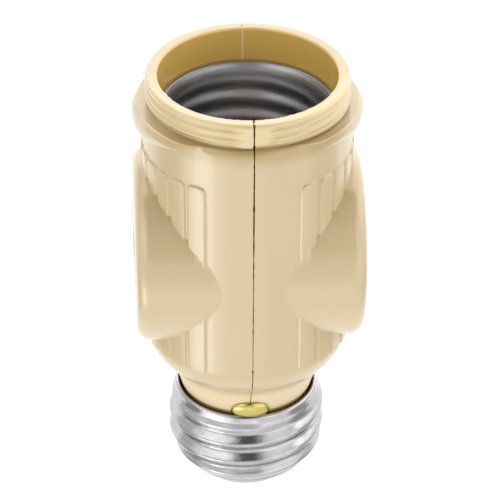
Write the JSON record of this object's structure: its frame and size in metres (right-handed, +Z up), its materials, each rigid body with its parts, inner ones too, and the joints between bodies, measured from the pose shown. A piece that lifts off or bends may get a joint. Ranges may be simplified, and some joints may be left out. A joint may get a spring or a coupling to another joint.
{
  "type": "lamp socket adapter",
  "caption": "Ivory moulded lampholder adapter with a medium screw base, a medium screw socket on top and a flat-blade outlet on each side.",
  "frame": {"origin": "tip of the base centre contact, on the adapter's axis", "axes": "+Z up from the screw base to the socket mouth, +X and -X out of the two outlet faces, -Y out of the front seam with the neck rivet"},
  "size_m": [0.0376, 0.0344, 0.08],
  "materials": {
    "ivory": "glossy moulded thermoset, light tan ivory",
    "nickel": "bright nickel-plated, rolled thread",
    "aluminium_shell": "satin rolled aluminium",
    "brass_contact": "polished brass",
    "brass_strip": "satin stamped brass strip",
    "bronze_spring": "satin phosphor bronze spring strip",
    "plated_rivet": "plated steel rivet",
    "black_insulation": "black moulded insulation",
    "grey_fibre": "grey vulcanised fibre"
  },
  "bodies": {
    "root": {"body_half_left": "ivory", "body_half_right": "ivory", "base_screw_shell": "nickel", "base_insulator": "black_insulation", "base_center_contact": "brass_contact", "socket_screw_shell": "aluminium_shell", "socket_insulator": "grey_fibre", "socket_center_contact": "bronze_spring", "center_contact_rivet": "brass_contact", "hot_strap": "brass_strip", "neutral_strap": "brass_strip", "hot_lead": "brass_strip", "neutral_lead": "brass_strip", "hot_clip_left": "bronze_spring", "hot_clip_right": "bronze_spring", "neutral_clip_left": "bronze_spring", "neutral_clip_right": "bronze_spring", "clip_rivets": "brass_contact", "lead_rivets": "brass_contact", "shell_rivets": "brass_contact", "neck_rivet": "brass_contact", "case_rivet": "plated_rivet"}
  },
  "joints": []
}
